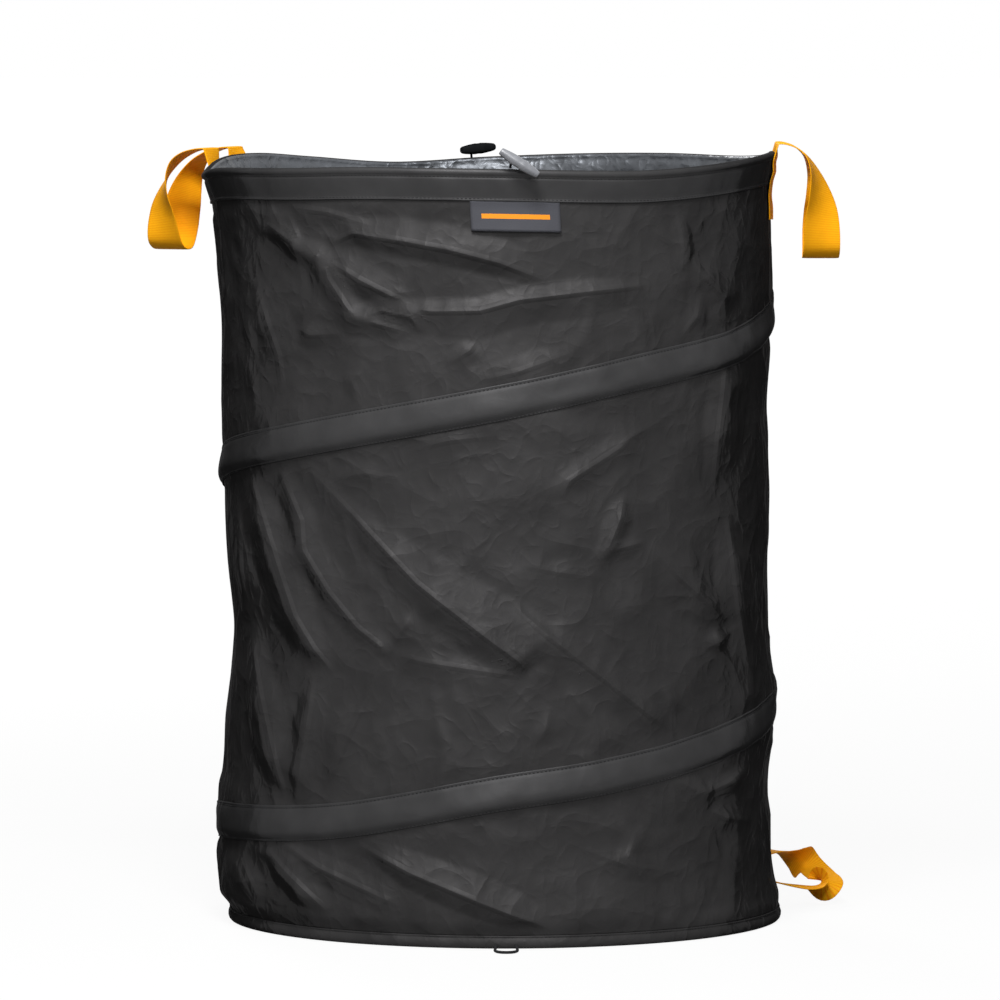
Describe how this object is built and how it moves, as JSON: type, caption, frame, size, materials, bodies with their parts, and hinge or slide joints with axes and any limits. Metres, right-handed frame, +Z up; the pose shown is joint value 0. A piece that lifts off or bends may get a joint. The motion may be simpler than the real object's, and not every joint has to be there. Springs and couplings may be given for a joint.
{
  "type": "pop-up garden bag",
  "caption": "Upright round pop-up garden bag of black cloth on a steel spring spiral, with orange webbing handles, for leaves and cuttings.",
  "frame": {"origin": "centre of the base's underside, on the floor", "axes": "+Z up, +X towards the right rim handle, -Y towards the front with the label"},
  "size_m": [0.7369, 0.652, 0.8106],
  "materials": {
    "black_polyester": "woven black polyester with a slight sheen, coated inside",
    "black_hem_cloth": "black polyester, doubled and stitched",
    "slate_label": "dark slate woven tape",
    "orange_webbing": "ribbed polypropylene webbing",
    "spring_steel": "drawn wire",
    "grey_plastic": "moulded, satin",
    "black_plastic": "moulded, satin",
    "black_rubber": "matt",
    "black_cord": "braided elastic cord"
  },
  "bodies": {
    "base": {"wall_fabric": "black_polyester", "base_panel": "black_polyester", "base_sleeve": "black_hem_cloth", "spiral_sleeve": "black_hem_cloth", "back_seam_binding": "black_hem_cloth", "base_ring_wire": "spring_steel", "spiral_wire": "spring_steel", "base_ring_ferrule": "spring_steel", "spiral_wire_upper_tip": "black_rubber", "spiral_wire_lower_tip": "black_rubber", "base_handle_tail_a": "orange_webbing", "base_handle_tail_b": "orange_webbing"},
    "rim": {"rim_sleeve": "black_hem_cloth", "top_ring_wire": "spring_steel", "top_ring_ferrule": "spring_steel", "label": "slate_label", "right_handle_tail_a": "orange_webbing", "right_handle_tail_b": "orange_webbing", "left_handle_tail_a": "orange_webbing", "left_handle_tail_b": "orange_webbing"},
    "left_handle": {"left_handle_loop": "orange_webbing"},
    "right_handle": {"right_handle_loop": "orange_webbing"},
    "base_handle": {"base_handle_loop": "orange_webbing"},
    "front_toggle_cord": {"front_toggle_cord": "black_cord"},
    "front_toggle": {"front_toggle": "grey_plastic"},
    "rear_toggle": {"rear_toggle": "black_plastic", "rear_toggle_cord": "black_cord"},
    "front_base_loop": {"front_base_loop": "black_cord"},
    "rear_base_loop": {"rear_base_loop": "black_cord"}
  },
  "joints": [
    {"name": "collapse", "type": "slide", "parent": "base", "child": "rim", "axis": [0, 0, 1], "range_m": [-0.68, 0], "stiffness_N_per_m": 20, "springref_m": 0.5, "deforming": ["wall_fabric", "spiral_sleeve", "spiral_wire", "back_seam_binding", "spiral_wire_upper_tip", "spiral_wire_lower_tip"]},
    {"name": "left_handle_swing", "type": "hinge", "parent": "rim", "child": "left_handle", "pos_m": [-0.29598, 0.11251, 0.80046], "axis": [0.3746, 0.9272, 0], "range_deg": [0, 150]},
    {"name": "right_handle_swing", "type": "hinge", "parent": "rim", "child": "right_handle", "pos_m": [0.28253, 0, 0.808], "axis": [0, -1, 0], "range_deg": [0, 150]},
    {"name": "base_handle_swing", "type": "hinge", "parent": "base", "child": "base_handle", "pos_m": [0.26106, 0.1072, 0.03], "axis": [0.3746, -0.9272, 0], "range_deg": [0, 35]},
    {"name": "front_toggle_cord_swing", "type": "hinge", "parent": "rim", "child": "front_toggle_cord", "pos_m": [0.00594, -0.2955, 0.79328], "axis": [-1, 0, 0], "range_deg": [0, 110]},
    {"name": "front_toggle_turn", "type": "hinge", "parent": "front_toggle_cord", "child": "front_toggle", "pos_m": [0.0146, -0.3078, 0.796], "axis": [0, -1, 0], "range_deg": [-60, 60]},
    {"name": "rear_toggle_swing", "type": "hinge", "parent": "rim", "child": "rear_toggle", "pos_m": [-0.03318, 0.3009, 0.77724], "axis": [-1, 0, 0], "range_deg": [0, 110]},
    {"name": "front_base_loop_swing", "type": "hinge", "parent": "base", "child": "front_base_loop", "pos_m": [0.0015, -0.28978, 0.00393], "axis": [-1, 0, 0], "range_deg": [0, 55]},
    {"name": "rear_base_loop_swing", "type": "hinge", "parent": "base", "child": "rear_base_loop", "pos_m": [0.0015, 0.28978, 0.00393], "axis": [1, 0, 0], "range_deg": [0, 55]}
  ]
}
